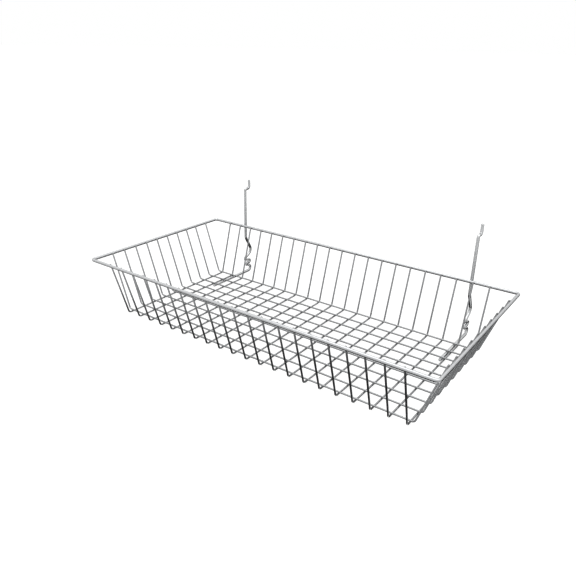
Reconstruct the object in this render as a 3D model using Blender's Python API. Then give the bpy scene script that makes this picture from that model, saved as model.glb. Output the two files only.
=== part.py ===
"""Hanging wire basket: an open tray of welded chrome wire with two hooks on its back.

It is 34 bent round wires, each its own object: a rim, 21 cross wires that run down the front wall,
across the floor and up the back wall, 10 long wires that run from end to end on top of them, and
two hook wires behind the back wall. The real wires touch where they are welded; here they keep a
small gap.

Frame: metres, +Z up, +X along the basket, +Y towards the panel that it hangs on. The origin is at
the bottom centre of the whole object's box, level with the undersides of the hook legs.
"""
import math

import bmesh
import bpy
from mathutils import Matrix, Vector

MM = 0.001

# Wires. Every bend radius is measured to the wire's centre line.
RIM_R = 2.4 * MM            # radius of the rim wire and of the hook wires
GRID_R = 1.2 * MM           # radius of the cross wires and the long wires
GAP = 0.3 * MM              # clearance at each weld
SIDES = 8                   # flats around a wire
BEND_STEP = math.radians(20)        # largest turn between two sections of a bend
SLACK = 0.01                # part of a step that rounding may add to a bend
SHARP_ANGLE = math.radians(50)      # edges sharper than this stay sharp: a wire's cut ends

# Basket
RIM_LENGTH = 609.6 * MM     # outside, 24 in
RIM_DEPTH = 304.8 * MM      # outside, 12 in
HEIGHT = 101.6 * MM         # underside of the hook legs to the top of the rim, 4 in
RIM_BEND = 5.0 * MM
GRID_BEND = 5.0 * MM
FLOOR_LENGTH = 525.0 * MM   # flat part of a long wire
FLOOR_DEPTH = 229.6 * MM    # flat part of a cross wire
WIRE_END_RISE = 1.0 * MM    # how far a wire's end stands above the rim's centre line

CROSS_COUNT = 21
CROSS_PITCH = 26.0 * MM
LONG_COUNT = 10
LONG_PITCH = 24.7 * MM
REAR_SHIFT = 3.5 * MM       # the rearmost long wire lies further back, at the foot of its wall

# Hooks
HOOK_SPACING = 457.2 * MM   # 18 in, between the two hook wires
PEG_STEP = 12.2 * MM        # from the rod back to the peg
PEG_TOP = 188.0 * MM
PEG_JOG_Z = 172.0 * MM
PEG_BEND = 4.0 * MM
LEG_FRONT = 59.0 * MM       # front end of the leg, behind the middle of the basket

# Heights of the centre lines. The hook legs are welded under the long wires.
RIM_Z = HEIGHT - RIM_R
LEG_Z = RIM_R
LONG_Z = LEG_Z + RIM_R + GAP + GRID_R
CROSS_Z = LONG_Z - 2 * GRID_R - GAP
ROD_U = RIM_DEPTH / 2 + GAP + RIM_R

# Bends of the hook below its rod: (distance behind the basket's middle, height, bend radius).
# A wire turns left around a pin with a positive radius and right around a negative one.
ROD_FOOT = (ROD_U + 10.0 * MM, 77.5 * MM, 10.0 * MM)
UPPER_BUMP = (158.8 * MM, 47.0 * MM, -10.5 * MM)
UPPER_NOTCH = (155.5 * MM, 30.0 * MM, 3.0 * MM)
MIDDLE_BUMP = (163.8 * MM, 22.6 * MM, -3.0 * MM)
LOWER_NOTCH = (159.0 * MM, 17.3 * MM, 2.6 * MM)
LOWER_BUMP_R = 6.0 * MM
LOWER_BUMP = (161.6 * MM, LEG_Z + LOWER_BUMP_R, -LOWER_BUMP_R)

# Turns that lay a wire's own plane (its X and Y) into the model.
IN_YZ_PLANE = Matrix(((0, 0, 1), (1, 0, 0), (0, 1, 0))).to_4x4()
IN_XZ_PLANE = Matrix(((1, 0, 0), (0, 0, -1), (0, 1, 0))).to_4x4()


def clear_scene():
    for item in list(bpy.data.objects):
        bpy.data.objects.remove(item, do_unlink=True)


def left_of(direction):
    return Vector((-direction.y, direction.x))


def heading(angle):
    return Vector((math.cos(angle), math.sin(angle)))


def run_angle(pin, following):
    """Direction of the straight wire that leaves one pin and meets the following one."""
    across = Vector(following[:2]) - Vector(pin[:2])
    growth = following[2] - pin[2]
    length = math.sqrt(across.length_squared - growth ** 2)
    return math.atan2(across.y, across.x) - math.atan2(growth, length)


def bend_points(pin, angle_in, angle_out):
    """Points of the wire around one pin, from one direction to the other."""
    centre = Vector(pin[:2])
    radius = pin[2]
    turn = (angle_out - angle_in) % math.tau
    if radius < 0:
        turn -= math.tau
    steps = max(1, math.ceil(abs(turn) / BEND_STEP - SLACK))
    angles = [angle_in + turn * step / steps for step in range(steps + 1)]
    return [centre - left_of(heading(angle)) * radius for angle in angles]


def bent_path(pins):
    """Centre line of a wire drawn tight around its pins. A pin of radius 0 is a free end."""
    count = len(pins)
    runs = [run_angle(pins[i], pins[(i + 1) % count]) for i in range(count)]
    path = []
    for i, pin in enumerate(pins):
        if pin[2] == 0:
            path.append(Vector(pin[:2]))
        else:
            path.extend(bend_points(pin, runs[i - 1], runs[i]))
    return path


def wire_mesh(name, path, radius, closed=False):
    """Sweep a section with flat sides along a path in the XY plane, mitred at each point."""
    bm = bmesh.new()
    corner_r = radius / math.cos(math.pi / SIDES)
    count = len(path)
    rings = []
    for i, point in enumerate(path):
        before = path[i - 1] if closed or i > 0 else None
        after = path[(i + 1) % count] if closed or i < count - 1 else None
        arriving = (point - before).normalized() if before else (after - point).normalized()
        leaving = (after - point).normalized() if after else arriving
        middle = (arriving + leaving).normalized()
        side = left_of(middle) / middle.dot(leaving)
        ring = []
        for k in range(SIDES):
            angle = (k + 0.5) * math.tau / SIDES
            place = point + side * corner_r * math.cos(angle)
            ring.append(bm.verts.new((place.x, place.y, corner_r * math.sin(angle))))
        rings.append(ring)
    pairs = list(zip(rings, rings[1:]))
    if closed:
        pairs.append((rings[-1], rings[0]))
    else:
        bm.faces.new(rings[0])
        bm.faces.new(reversed(rings[-1]))
    for ring, following in pairs:
        for k in range(SIDES):
            other = (k + 1) % SIDES
            bm.faces.new((ring[k], ring[other], following[other], following[k]))
    bmesh.ops.recalc_face_normals(bm, faces=bm.faces[:])
    mesh = bpy.data.meshes.new(name)
    bm.to_mesh(mesh)
    bm.free()
    mesh.shade_smooth()
    mesh.set_sharp_from_angle(angle=SHARP_ANGLE)
    return mesh


def chrome(name, colour, roughness):
    material = bpy.data.materials.new(name)
    material.use_nodes = True
    shader = material.node_tree.nodes["Principled BSDF"]
    shader.inputs["Base Color"].default_value = (*colour, 1.0)
    shader.inputs["Metallic"].default_value = 1.0
    shader.inputs["Roughness"].default_value = roughness
    return material


def place_wire(name, mesh, material, location, turn=None):
    """One wire of the model. Wires of the same shape share their mesh."""
    if not mesh.materials:
        mesh.materials.append(material)
    item = bpy.data.objects.new(name, mesh)
    bpy.context.collection.objects.link(item)
    item.matrix_world = Matrix.Translation(location) @ (turn or Matrix.Identity(4))
    return item


def rim_path():
    """A rectangle with four round corners, bent from one wire whose ends meet."""
    u = RIM_LENGTH / 2 - RIM_R - RIM_BEND
    v = RIM_DEPTH / 2 - RIM_R - RIM_BEND
    corners = ((u, -v), (u, v), (-u, v), (-u, -v))
    return bent_path([(*corner, RIM_BEND) for corner in corners])


def tray_path(floor, outside, floor_z):
    """A wide U: flat floor, and two straight walls that lean out to the inside of the rim."""
    end_u = outside / 2 - 2 * RIM_R - GAP - GRID_R
    end_v = RIM_Z + WIRE_END_RISE
    bend_v = floor_z + GRID_BEND
    return bent_path([
        (-end_u, end_v, 0.0),
        (-floor / 2, bend_v, GRID_BEND),
        (floor / 2, bend_v, GRID_BEND),
        (end_u, end_v, 0.0),
    ])


def hook_path():
    """Peg, jog, rod, the bumps and notches that sit on a grid panel, and the leg under the floor."""
    peg_u = ROD_U + PEG_STEP
    return bent_path([
        (peg_u, PEG_TOP, 0.0),
        (peg_u - PEG_BEND, PEG_JOG_Z + PEG_BEND, -PEG_BEND),
        (ROD_U + PEG_BEND, PEG_JOG_Z - PEG_BEND, PEG_BEND),
        ROD_FOOT,
        UPPER_BUMP,
        UPPER_NOTCH,
        MIDDLE_BUMP,
        LOWER_NOTCH,
        LOWER_BUMP,
        (LEG_FRONT, LEG_Z, 0.0),
    ])


def build():
    clear_scene()
    rim_chrome = chrome("rim_chrome", (0.72, 0.73, 0.74), 0.14)
    grid_chrome = chrome("grid_chrome", (0.66, 0.67, 0.69), 0.16)
    hook_chrome = chrome("hook_chrome", (0.68, 0.69, 0.71), 0.14)

    hook = wire_mesh("hook", hook_path(), RIM_R)
    hook_back = max(vertex.co.x for vertex in hook.vertices)
    basket_y = (RIM_DEPTH / 2 - hook_back) / 2      # puts the origin in the middle of the box

    rim = wire_mesh("rim_wire", rim_path(), RIM_R, closed=True)
    place_wire("rim_wire", rim, rim_chrome, (0, basket_y, RIM_Z))

    cross = wire_mesh("cross_wire", tray_path(FLOOR_DEPTH, RIM_DEPTH, CROSS_Z), GRID_R)
    for i in range(CROSS_COUNT):
        x = (i - (CROSS_COUNT - 1) / 2) * CROSS_PITCH
        place_wire(f"cross_wire_{i + 1:02d}", cross, grid_chrome, (x, basket_y, 0), IN_YZ_PLANE)

    long = wire_mesh("long_wire", tray_path(FLOOR_LENGTH, RIM_LENGTH, LONG_Z), GRID_R)
    for i in range(LONG_COUNT):
        y = basket_y + (i - (LONG_COUNT - 1) / 2) * LONG_PITCH
        if i == LONG_COUNT - 1:
            y += REAR_SHIFT
        place_wire(f"long_wire_{i + 1:02d}", long, grid_chrome, (0, y, 0), IN_XZ_PLANE)

    for name, side in (("hook_left", -1), ("hook_right", 1)):
        x = side * HOOK_SPACING / 2
        place_wire(name, hook, hook_chrome, (x, basket_y, 0), IN_YZ_PLANE)


build()
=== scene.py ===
import math

import bmesh
import bpy
from mathutils import Euler, Matrix, Vector


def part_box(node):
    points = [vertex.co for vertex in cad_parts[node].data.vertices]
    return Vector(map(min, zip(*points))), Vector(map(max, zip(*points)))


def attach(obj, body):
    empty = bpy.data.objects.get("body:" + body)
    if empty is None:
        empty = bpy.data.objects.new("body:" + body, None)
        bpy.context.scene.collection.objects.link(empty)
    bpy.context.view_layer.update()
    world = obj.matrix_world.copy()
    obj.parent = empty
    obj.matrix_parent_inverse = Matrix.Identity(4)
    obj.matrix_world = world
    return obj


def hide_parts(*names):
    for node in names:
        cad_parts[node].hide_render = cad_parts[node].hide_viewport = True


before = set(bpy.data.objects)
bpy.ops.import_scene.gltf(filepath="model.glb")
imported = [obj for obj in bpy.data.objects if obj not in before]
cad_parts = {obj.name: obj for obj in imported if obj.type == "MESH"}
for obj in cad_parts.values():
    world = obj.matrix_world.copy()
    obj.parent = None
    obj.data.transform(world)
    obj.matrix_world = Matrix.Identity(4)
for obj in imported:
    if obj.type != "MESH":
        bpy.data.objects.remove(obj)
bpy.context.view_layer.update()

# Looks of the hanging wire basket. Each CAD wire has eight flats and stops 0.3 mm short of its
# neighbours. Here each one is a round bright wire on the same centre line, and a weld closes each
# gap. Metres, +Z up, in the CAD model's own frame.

MM = 0.001

# How finely the wires are made
SIDES = 20
BEND_STEP = math.radians(7)         # largest turn between two sections of a bend
SLACK = 0.01                        # part of a step that rounding may add to a bend
CUT_ROUNDING = 0.35                 # how far a cut end is rounded over, in radii of the wire
CUT_STEPS = 3                       # steps of that rounding
SHARP_ANGLE = math.radians(50)      # edges sharper than this stay sharp

# Sizes read from the CAD model. RIM_U and RIM_V are half the rim's length and half its depth.
rim_low, rim_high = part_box("rim_wire")
cross_low, cross_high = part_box("cross_wire_01")
long_low, long_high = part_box("long_wire_01")
hook_low, hook_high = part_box("hook_right")

RIM_R = (rim_high.z - rim_low.z) / 2
GRID_R = (cross_high.x - cross_low.x) / 2
BASKET_Y = (rim_low.y + rim_high.y) / 2
RIM_Z = (rim_low.z + rim_high.z) / 2
RIM_U = (rim_high.x - rim_low.x) / 2
RIM_V = (rim_high.y - rim_low.y) / 2
CROSS_Z = cross_low.z + GRID_R
LONG_Z = long_low.z + GRID_R
LEG_Z = hook_low.z + RIM_R
HOOK_X = (hook_low.x + hook_high.x) / 2
LEG_FRONT = hook_low.y - BASKET_Y
PEG_TOP = hook_high.z

# The CAD model's design values that a box doesn't give
GAP = 0.3 * MM
RIM_BEND = 5.0 * MM
GRID_BEND = 5.0 * MM
FLOOR_LENGTH = 525.0 * MM           # flat part of a long wire
FLOOR_DEPTH = 229.6 * MM            # flat part of a cross wire
WIRE_END_RISE = 1.0 * MM            # how far a wire's end stands above the rim's centre line
PEG_STEP = 12.2 * MM                # from the rod back to the peg
PEG_JOG_Z = 172.0 * MM
PEG_BEND = 4.0 * MM
ROD_U = RIM_V + GAP + RIM_R

# Bends of the hook below its rod: (distance behind the basket's middle, height, bend radius).
# A wire turns left around a pin with a positive radius and right around a negative one.
ROD_FOOT = (ROD_U + 10.0 * MM, 77.5 * MM, 10.0 * MM)
UPPER_BUMP = (158.8 * MM, 47.0 * MM, -10.5 * MM)
UPPER_NOTCH = (155.5 * MM, 30.0 * MM, 3.0 * MM)
MIDDLE_BUMP = (163.8 * MM, 22.6 * MM, -3.0 * MM)
LOWER_NOTCH = (159.0 * MM, 17.3 * MM, 2.6 * MM)
LOWER_BUMP_R = 6.0 * MM
LOWER_BUMP = (161.6 * MM, LEG_Z + LOWER_BUMP_R, -LOWER_BUMP_R)

# Turns that lay a wire's own plane (its X and Y) into the model.
IN_XY_PLANE = Matrix.Identity(4)
IN_YZ_PLANE = Matrix(((0, 0, 1), (1, 0, 0), (0, 1, 0))).to_4x4()
IN_XZ_PLANE = Matrix(((1, 0, 0), (0, 0, -1), (0, 1, 0))).to_4x4()


# Wire shapes

def left_of(direction):
    return Vector((-direction.y, direction.x))


def heading(angle):
    return Vector((math.cos(angle), math.sin(angle)))


def run_angle(pin, following):
    """Direction of the straight wire that leaves one bending pin and meets the following one."""
    across = Vector(following[:2]) - Vector(pin[:2])
    growth = following[2] - pin[2]
    length = math.sqrt(across.length_squared - growth ** 2)
    return math.atan2(across.y, across.x) - math.atan2(growth, length)


def bent_path(pins):
    """Centre line of a wire drawn tight around its pins. A pin of radius 0 is a free end."""
    count = len(pins)
    runs = [run_angle(pins[i], pins[(i + 1) % count]) for i in range(count)]
    path = []
    for i, (u, v, radius) in enumerate(pins):
        centre = Vector((u, v))
        if radius == 0:
            path.append(centre)
            continue
        turn = (runs[i] - runs[i - 1]) % math.tau
        if radius < 0:
            turn -= math.tau
        steps = max(1, math.ceil(abs(turn) / BEND_STEP - SLACK))
        for step in range(steps + 1):
            angle = runs[i - 1] + turn * step / steps
            path.append(centre - left_of(heading(angle)) * radius)
    return path


def rim_path():
    """The rectangle of the rim, seen from above."""
    u = RIM_U - RIM_R - RIM_BEND
    v = RIM_V - RIM_R - RIM_BEND
    return bent_path([(x, y, RIM_BEND) for x, y in ((u, -v), (u, v), (-u, v), (-u, -v))])


def tray_path(floor, half_width, floor_z):
    """A wide U: flat floor, and two walls that lean out to the inside of the rim."""
    end_u = half_width - 2 * RIM_R - GAP - GRID_R
    end_v = RIM_Z + WIRE_END_RISE
    bend_v = floor_z + GRID_BEND
    return bent_path([
        (-end_u, end_v, 0.0),
        (-floor / 2, bend_v, GRID_BEND),
        (floor / 2, bend_v, GRID_BEND),
        (end_u, end_v, 0.0),
    ])


def hook_path():
    """From the peg down the rod and the zigzag, then forward along the leg."""
    peg_u = ROD_U + PEG_STEP
    return bent_path([
        (peg_u, PEG_TOP, 0.0),
        (peg_u - PEG_BEND, PEG_JOG_Z + PEG_BEND, -PEG_BEND),
        (ROD_U + PEG_BEND, PEG_JOG_Z - PEG_BEND, PEG_BEND),
        ROD_FOOT,
        UPPER_BUMP,
        UPPER_NOTCH,
        MIDDLE_BUMP,
        LOWER_NOTCH,
        LOWER_BUMP,
        (LEG_FRONT, LEG_Z, 0.0),
    ])


def stations(path, closed):
    """(point, side, along) at each point: side is the mitred way left, along is the way ahead."""
    count = len(path)
    found = []
    for i, point in enumerate(path):
        before = path[i - 1] if closed or i > 0 else None
        after = path[(i + 1) % count] if closed or i < count - 1 else None
        arriving = (point - before).normalized() if before else (after - point).normalized()
        leaving = (after - point).normalized() if after else arriving
        middle = (arriving + leaving).normalized()
        found.append((point, left_of(middle) / middle.dot(leaving), middle))
    return found


def cut_end(station, radius, inwards):
    """Rings that round over a cut end, from the whole wire out to its face."""
    point, side, along = station
    edge = CUT_ROUNDING * radius
    rings = []
    for step in range(CUT_STEPS + 1):
        angle = step * math.pi / 2 / CUT_STEPS
        inset = edge * (1 - math.sin(angle))
        shrink = edge * (1 - math.cos(angle))
        rings.append((point + along * inwards * inset, side, radius - shrink))
    return rings


def sections(path, radius, closed):
    """(point, side, radius) of each ring of a tube."""
    places = stations(path, closed)
    rings = [(point, side, radius) for point, side, _ in places]
    if closed:
        return rings
    start = cut_end(places[0], radius, 1)
    end = cut_end(places[-1], radius, -1)
    return start[::-1] + rings[1:-1] + end


def tube_mesh(name, path, radius, closed=False):
    """A round wire along a path in the XY plane."""
    bm = bmesh.new()
    rings = []
    for point, side, ring_radius in sections(path, radius, closed):
        ring = []
        for k in range(SIDES):
            angle = k * math.tau / SIDES
            place = point + side * ring_radius * math.cos(angle)
            ring.append(bm.verts.new((place.x, place.y, ring_radius * math.sin(angle))))
        rings.append(ring)
    pairs = list(zip(rings, rings[1:]))
    if closed:
        pairs.append((rings[-1], rings[0]))
    else:
        bm.faces.new(rings[0])
        bm.faces.new(reversed(rings[-1]))
    for ring, following in pairs:
        for k in range(SIDES):
            other = (k + 1) % SIDES
            bm.faces.new((ring[k], ring[other], following[other], following[k]))
    bmesh.ops.recalc_face_normals(bm, faces=bm.faces[:])
    mesh = bpy.data.meshes.new(name)
    bm.to_mesh(mesh)
    bm.free()
    mesh.shade_smooth()
    mesh.set_sharp_from_angle(angle=SHARP_ANGLE)
    return mesh


# Chrome

BRIGHT = 0.22                       # roughness of a wire
DULL = 0.32                         # roughness of a weld
CLOUD_SCALE = 140.0                 # clouds per metre
CLOUD_DETAIL = 4.0
CLOUD_ROUGHNESS = (0.6, 1.4)        # times the roughness, from the clear places to the dull ones
CLOUD_SHADE = (1.06, 0.94)          # times the colour, likewise
WIRE_SHADE = (0.96, 1.04)           # times the colour, from one wire to another
SKIN_SCALE = 1800.0                 # pebbles per metre
SKIN_DETAIL = 2.0
SKIN_STRENGTH = 0.25
SKIN_DEPTH = 0.02 * MM


def noise(nodes, links, vector, scale, detail):
    texture = nodes.new("ShaderNodeTexNoise")
    texture.inputs["Scale"].default_value = scale
    texture.inputs["Detail"].default_value = detail
    links.new(vector, texture.inputs["Vector"])
    return texture.outputs["Fac"]


def spread(nodes, links, value, low, high):
    """A value between 0 and 1 as one between low and high."""
    node = nodes.new("ShaderNodeMapRange")
    node.inputs["To Min"].default_value = low
    node.inputs["To Max"].default_value = high
    links.new(value, node.inputs["Value"])
    return node.outputs["Result"]


def chrome(name, colour, roughness):
    """Bright plating: dull clouds, a faintly pebbled skin, and no two wires of quite one shade."""
    material = bpy.data.materials.new(name)
    material.use_nodes = True
    nodes = material.node_tree.nodes
    links = material.node_tree.links
    shader = nodes["Principled BSDF"]
    shader.inputs["Metallic"].default_value = 1.0
    where = nodes.new("ShaderNodeTexCoord").outputs["Object"]
    clouds = noise(nodes, links, where, CLOUD_SCALE, CLOUD_DETAIL)
    clear, dull = CLOUD_ROUGHNESS
    dulling = spread(nodes, links, clouds, roughness * clear, roughness * dull)
    links.new(dulling, shader.inputs["Roughness"])

    wire = nodes.new("ShaderNodeObjectInfo").outputs["Random"]
    shade = nodes.new("ShaderNodeMath")
    shade.operation = "MULTIPLY"
    links.new(spread(nodes, links, wire, *WIRE_SHADE), shade.inputs[0])
    links.new(spread(nodes, links, clouds, *CLOUD_SHADE), shade.inputs[1])
    tint = nodes.new("ShaderNodeVectorMath")
    tint.operation = "SCALE"
    tint.inputs[0].default_value = colour
    links.new(shade.outputs["Value"], tint.inputs["Scale"])
    links.new(tint.outputs["Vector"], shader.inputs["Base Color"])

    skin = nodes.new("ShaderNodeBump")
    skin.inputs["Strength"].default_value = SKIN_STRENGTH
    skin.inputs["Distance"].default_value = SKIN_DEPTH
    links.new(noise(nodes, links, where, SKIN_SCALE, SKIN_DETAIL), skin.inputs["Height"])
    links.new(skin.outputs["Normal"], shader.inputs["Normal"])
    return material


RIM_CHROME = chrome("rim_chrome", (0.635, 0.64, 0.648), BRIGHT)
GRID_CHROME = chrome("grid_chrome", (0.475, 0.48, 0.486), BRIGHT)
HOOK_CHROME = chrome("hook_chrome", (0.655, 0.66, 0.665), BRIGHT)
# The welds' darker grey is partly the duller plating over a weld and partly painted shade, where the
# wires cross and shadow each other.
WELD_CHROME_AND_SHADE = chrome("weld_chrome_and_shade", (0.43, 0.433, 0.437), DULL)


# Wires

def add_wire(name, mesh, material, location, turn, node):
    """One round wire in the place of its CAD node. Wires of the same shape share their mesh."""
    if not mesh.materials:
        mesh.materials.append(material)
    item = bpy.data.objects.new(name, mesh)
    bpy.context.scene.collection.objects.link(item)
    item.matrix_world = Matrix.Translation(location) @ turn
    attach(item, "root")
    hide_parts(node)


rim = tube_mesh("rim", rim_path(), RIM_R, closed=True)
add_wire("rim_round", rim, RIM_CHROME, (0, BASKET_Y, RIM_Z), IN_XY_PLANE, "rim_wire")

cross = tube_mesh("cross", tray_path(FLOOR_DEPTH, RIM_V, CROSS_Z), GRID_R)
long = tube_mesh("long", tray_path(FLOOR_LENGTH, RIM_U, LONG_Z), GRID_R)
cross_x = []
long_y = []
for node in sorted(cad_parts):
    low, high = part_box(node)
    middle = (low + high) / 2
    if node.startswith("cross_wire"):
        cross_x.append(middle.x)
        add_wire(node + "_round", cross, GRID_CHROME,
                 (middle.x, BASKET_Y, 0), IN_YZ_PLANE, node)
    elif node.startswith("long_wire"):
        long_y.append(middle.y)
        add_wire(node + "_round", long, GRID_CHROME,
                 (0, middle.y, 0), IN_XZ_PLANE, node)

hook = tube_mesh("hook", hook_path(), RIM_R)
for node, x in (("hook_left", -HOOK_X), ("hook_right", HOOK_X)):
    add_wire(node + "_round", hook, HOOK_CHROME,
             (x, BASKET_Y, 0), IN_YZ_PLANE, node)


# Welds: small nuggets squeezed out where two wires were pressed together

FLOOR_WELD = (1.1 * MM, 1.1 * MM, 0.7 * MM)     # half sizes: two thin wires, crossing flat
SIDE_WELD = (1.4 * MM, 0.9 * MM, 1.7 * MM)      # a thin wire's end on the front or back of the rim
END_WELD = (0.9 * MM, 1.4 * MM, 1.7 * MM)       # the same at the left or right end
ROD_WELD = (1.9 * MM, 0.9 * MM, 1.9 * MM)       # a hook's rod on the rim
LEG_WELD = (1.5 * MM, 1.4 * MM, 0.8 * MM)       # a hook's leg under a long wire
NUGGET_FINENESS = 2                             # subdivisions of an icosphere


def add_welds(name, welds):
    """One object of many nuggets, each given by its middle and its half sizes."""
    bm = bmesh.new()
    for middle, half_sizes in welds:
        shape = Matrix.Translation(middle) @ Matrix.Diagonal((*half_sizes, 1.0))
        bmesh.ops.create_icosphere(bm, subdivisions=NUGGET_FINENESS, radius=1.0, matrix=shape)
    mesh = bpy.data.meshes.new(name)
    bm.to_mesh(mesh)
    bm.free()
    mesh.shade_smooth()
    mesh.materials.append(WELD_CHROME_AND_SHADE)
    item = bpy.data.objects.new(name, mesh)
    bpy.context.scene.collection.objects.link(item)
    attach(item, "root")


floor_z = (CROSS_Z + LONG_Z) / 2
add_welds("floor_welds", [((x, y, floor_z), FLOOR_WELD) for x in cross_x for y in long_y])

inside_u = RIM_U - 2 * RIM_R - GAP / 2
inside_v = RIM_V - 2 * RIM_R - GAP / 2
rim_welds = []
for sign in (-1, 1):
    rim_welds += [((x, BASKET_Y + sign * inside_v, RIM_Z), SIDE_WELD) for x in cross_x]
    rim_welds += [((sign * inside_u, y, RIM_Z), END_WELD) for y in long_y]
add_welds("rim_welds", rim_welds)

leg_top = LEG_Z + RIM_R + GAP / 2
hook_welds = []
for x in (-HOOK_X, HOOK_X):
    hook_welds.append(((x, BASKET_Y + RIM_V + GAP / 2, RIM_Z), ROD_WELD))
    hook_welds += [((x, y, leg_top), LEG_WELD) for y in long_y if y > BASKET_Y + LEG_FRONT]
add_welds("hook_welds", hook_welds)


# Floor, light and camera

STUDIO_R = 25.0             # the white sweep behind everything
SWEEP_SEGMENTS = 48
SWEEP_RINGS = 24
FLOOR_GREY = 0.2
FLOOR_GLOW = 0.84           # lifts the grey floor to the white of the sweep
SOFTBOX_SIZE = (2.4, 1.6)
SOFTBOX_PLACE = (0.0, 0.3, 2.2)
SOFTBOX_POWER = 9.0
VIEW_GAMMA = 0.6


def stage_object(name, mesh, material):
    """A part of the studio that the chrome doesn't mirror: it mirrors the graded light instead."""
    mesh.materials.append(material)
    item = bpy.data.objects.new(name, mesh)
    bpy.context.scene.collection.objects.link(item)
    item.visible_glossy = False
    return item


def add_floor():
    """A pale floor as wide as the sweep, so that no horizon shows."""
    material = bpy.data.materials.new("pale_floor")
    material.use_nodes = True
    shader = material.node_tree.nodes["Principled BSDF"]
    shader.inputs["Base Color"].default_value = (FLOOR_GREY, FLOOR_GREY, FLOOR_GREY, 1)
    shader.inputs["Roughness"].default_value = 1.0
    shader.inputs["Specular IOR Level"].default_value = 0.0
    shader.inputs["Emission Color"].default_value = (1, 1, 1, 1)
    shader.inputs["Emission Strength"].default_value = FLOOR_GLOW
    mesh = bpy.data.meshes.new("floor")
    far = STUDIO_R
    corners = [(-far, -far, 0), (far, -far, 0), (far, far, 0), (-far, far, 0)]
    mesh.from_pydata(corners, [], [(0, 1, 2, 3)])
    stage_object("floor", mesh, material)


def add_backdrop():
    """A plain white shell around the studio, seen only by the camera."""
    material = bpy.data.materials.new("white_sweep")
    material.use_nodes = True
    nodes = material.node_tree.nodes
    glow = nodes.new("ShaderNodeEmission")
    glow.inputs["Color"].default_value = (1, 1, 1, 1)
    output = nodes["Material Output"]
    material.node_tree.links.new(glow.outputs["Emission"], output.inputs["Surface"])
    bm = bmesh.new()
    bmesh.ops.create_uvsphere(bm, u_segments=SWEEP_SEGMENTS, v_segments=SWEEP_RINGS, radius=STUDIO_R)
    mesh = bpy.data.meshes.new("backdrop")
    bm.to_mesh(mesh)
    bm.free()
    shell = stage_object("backdrop", mesh, material)
    shell.visible_diffuse = False
    shell.visible_shadow = False
    shell.visible_transmission = False


# What the chrome mirrors: the studio's brightness by the height of the direction, from straight
# down (-1) to straight up (1).
STUDIO_LIGHT = (
    (-1.00, 1.20),
    (-0.70, 1.20),
    (-0.45, 0.85),
    (-0.20, 1.10),
    (0.00, 0.90),
    (0.20, 0.86),
    (0.50, 1.24),
    (1.00, 1.22),
)
BRIGHTEST = max(value for _, value in STUDIO_LIGHT)

# Patches over it: towards, angle where the patch begins, angle where it is whole, brightness.
STUDIO_PATCHES = (
    ((0.0, 0.3, -0.95), math.radians(67), math.radians(56), 0.10),      # dark floor
    ((0.36, 0.28, -0.89), math.radians(27), math.radians(9), 1.90),     # low reflector
)


def light_grey(value):
    """A brightness as a part of the brightest one, which the background's strength gives back."""
    part = value / BRIGHTEST
    return (part, part, part, 1)


def graded_light(nodes, links, direction):
    """The colour of the studio's light by height."""
    split = nodes.new("ShaderNodeSeparateXYZ")
    height = nodes.new("ShaderNodeMapRange")
    height.inputs["From Min"].default_value = -1.0
    height.inputs["From Max"].default_value = 1.0
    ramp = nodes.new("ShaderNodeValToRGB")
    elements = ramp.color_ramp.elements
    while len(elements) < len(STUDIO_LIGHT):
        elements.new(0.5)
    for element, (z, value) in zip(elements, STUDIO_LIGHT):
        element.position = (z + 1) / 2
        element.color = light_grey(value)
    links.new(direction, split.inputs["Vector"])
    links.new(split.outputs["Z"], height.inputs["Value"])
    links.new(height.outputs["Result"], ramp.inputs["Fac"])
    return ramp.outputs["Color"]


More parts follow.
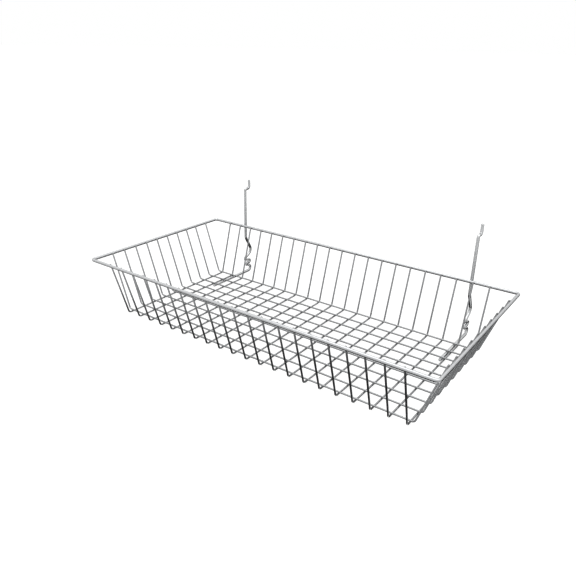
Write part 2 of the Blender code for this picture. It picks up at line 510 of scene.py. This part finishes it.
def round_patch(nodes, links, direction, light, patch):
    """The same light with one soft-edged round patch over it."""
    towards, outer, inner, value = patch
    facing = nodes.new("ShaderNodeVectorMath")
    facing.operation = "DOT_PRODUCT"
    facing.inputs[1].default_value = Vector(towards).normalized()
    links.new(direction, facing.inputs[0])
    edge = nodes.new("ShaderNodeMapRange")
    edge.interpolation_type = "SMOOTHSTEP"
    edge.inputs["From Min"].default_value = math.cos(outer)
    edge.inputs["From Max"].default_value = math.cos(inner)
    links.new(facing.outputs["Value"], edge.inputs["Value"])
    mixed = nodes.new("ShaderNodeMixRGB")
    mixed.inputs["Color2"].default_value = light_grey(value)
    links.new(edge.outputs["Result"], mixed.inputs["Fac"])
    links.new(light, mixed.inputs["Color1"])
    return mixed.outputs["Color"]


def add_world():
    """The graded light with its patches, which lights the scene and shows only in the chrome."""
    world = bpy.data.worlds.new("studio")
    bpy.context.scene.world = world
    world.use_nodes = True
    nodes = world.node_tree.nodes
    links = world.node_tree.links
    direction = nodes.new("ShaderNodeTexCoord").outputs["Generated"]
    light = graded_light(nodes, links, direction)
    for patch in STUDIO_PATCHES:
        light = round_patch(nodes, links, direction, light, patch)
    background = nodes["Background"]
    background.inputs["Strength"].default_value = BRIGHTEST
    links.new(light, background.inputs["Color"])


def add_softbox():
    """One large soft light overhead."""
    data = bpy.data.lights.new("softbox", "AREA")
    data.shape = "RECTANGLE"
    data.size, data.size_y = SOFTBOX_SIZE
    data.energy = SOFTBOX_POWER
    light = bpy.data.objects.new("softbox", data)
    bpy.context.scene.collection.objects.link(light)
    light.location = SOFTBOX_PLACE


CAMERA_PLACE = Vector((0.4839, -0.6956, 0.4407))
CAMERA_ANGLES = (66.636, -0.908, 36.184)        # degrees, about X, Y and Z in turn
SENSOR_WIDTH = 36.0                             # in millimetres, as is the lens
LENS = 36.2
NEAREST = 0.01
FARTHEST = 1000.0


def add_camera():
    """The photograph's view, from above the basket's front and right."""
    data = bpy.data.cameras.new("camera")
    data.sensor_width = SENSOR_WIDTH
    data.lens = LENS
    data.clip_start = NEAREST
    data.clip_end = FARTHEST
    camera = bpy.data.objects.new("camera", data)
    bpy.context.scene.collection.objects.link(camera)
    turn = Euler([math.radians(angle) for angle in CAMERA_ANGLES])
    camera.matrix_world = Matrix.LocRotScale(CAMERA_PLACE, turn, None)
    bpy.context.scene.camera = camera


add_floor()
add_backdrop()
add_world()
add_softbox()
add_camera()
bpy.context.scene.view_settings.view_transform = "Standard"
bpy.context.scene.view_settings.gamma = VIEW_GAMMA
